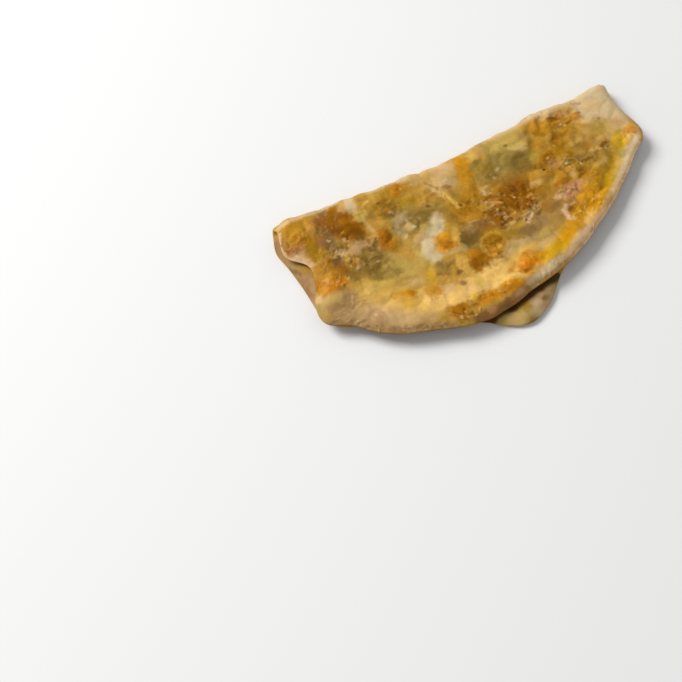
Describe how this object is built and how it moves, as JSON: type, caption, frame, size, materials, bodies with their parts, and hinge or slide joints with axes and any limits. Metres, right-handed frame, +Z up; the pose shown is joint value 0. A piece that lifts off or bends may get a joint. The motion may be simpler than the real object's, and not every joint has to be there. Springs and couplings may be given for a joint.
{
  "type": "folded sweet filled flatbread",
  "caption": "Thin filled sweet flatbread, browned in patches, folded into a half moon whose lower flap peeks out at one end and under the curved rim.",
  "frame": {"origin": "middle of the underside of the bounding box, on the surface that the bread lies on", "axes": "+X along the fold line, +Y from the curved rim towards the fold, +Z up out of the top flap"},
  "size_m": [0.1822, 0.0932, 0.0101],
  "materials": {
    "dough": "soft oiled dough, beige and yellow with golden and brown griddle patches and a pale rim"
  },
  "bodies": {
    "root": {"bobbatlu": "dough"}
  },
  "joints": []
}
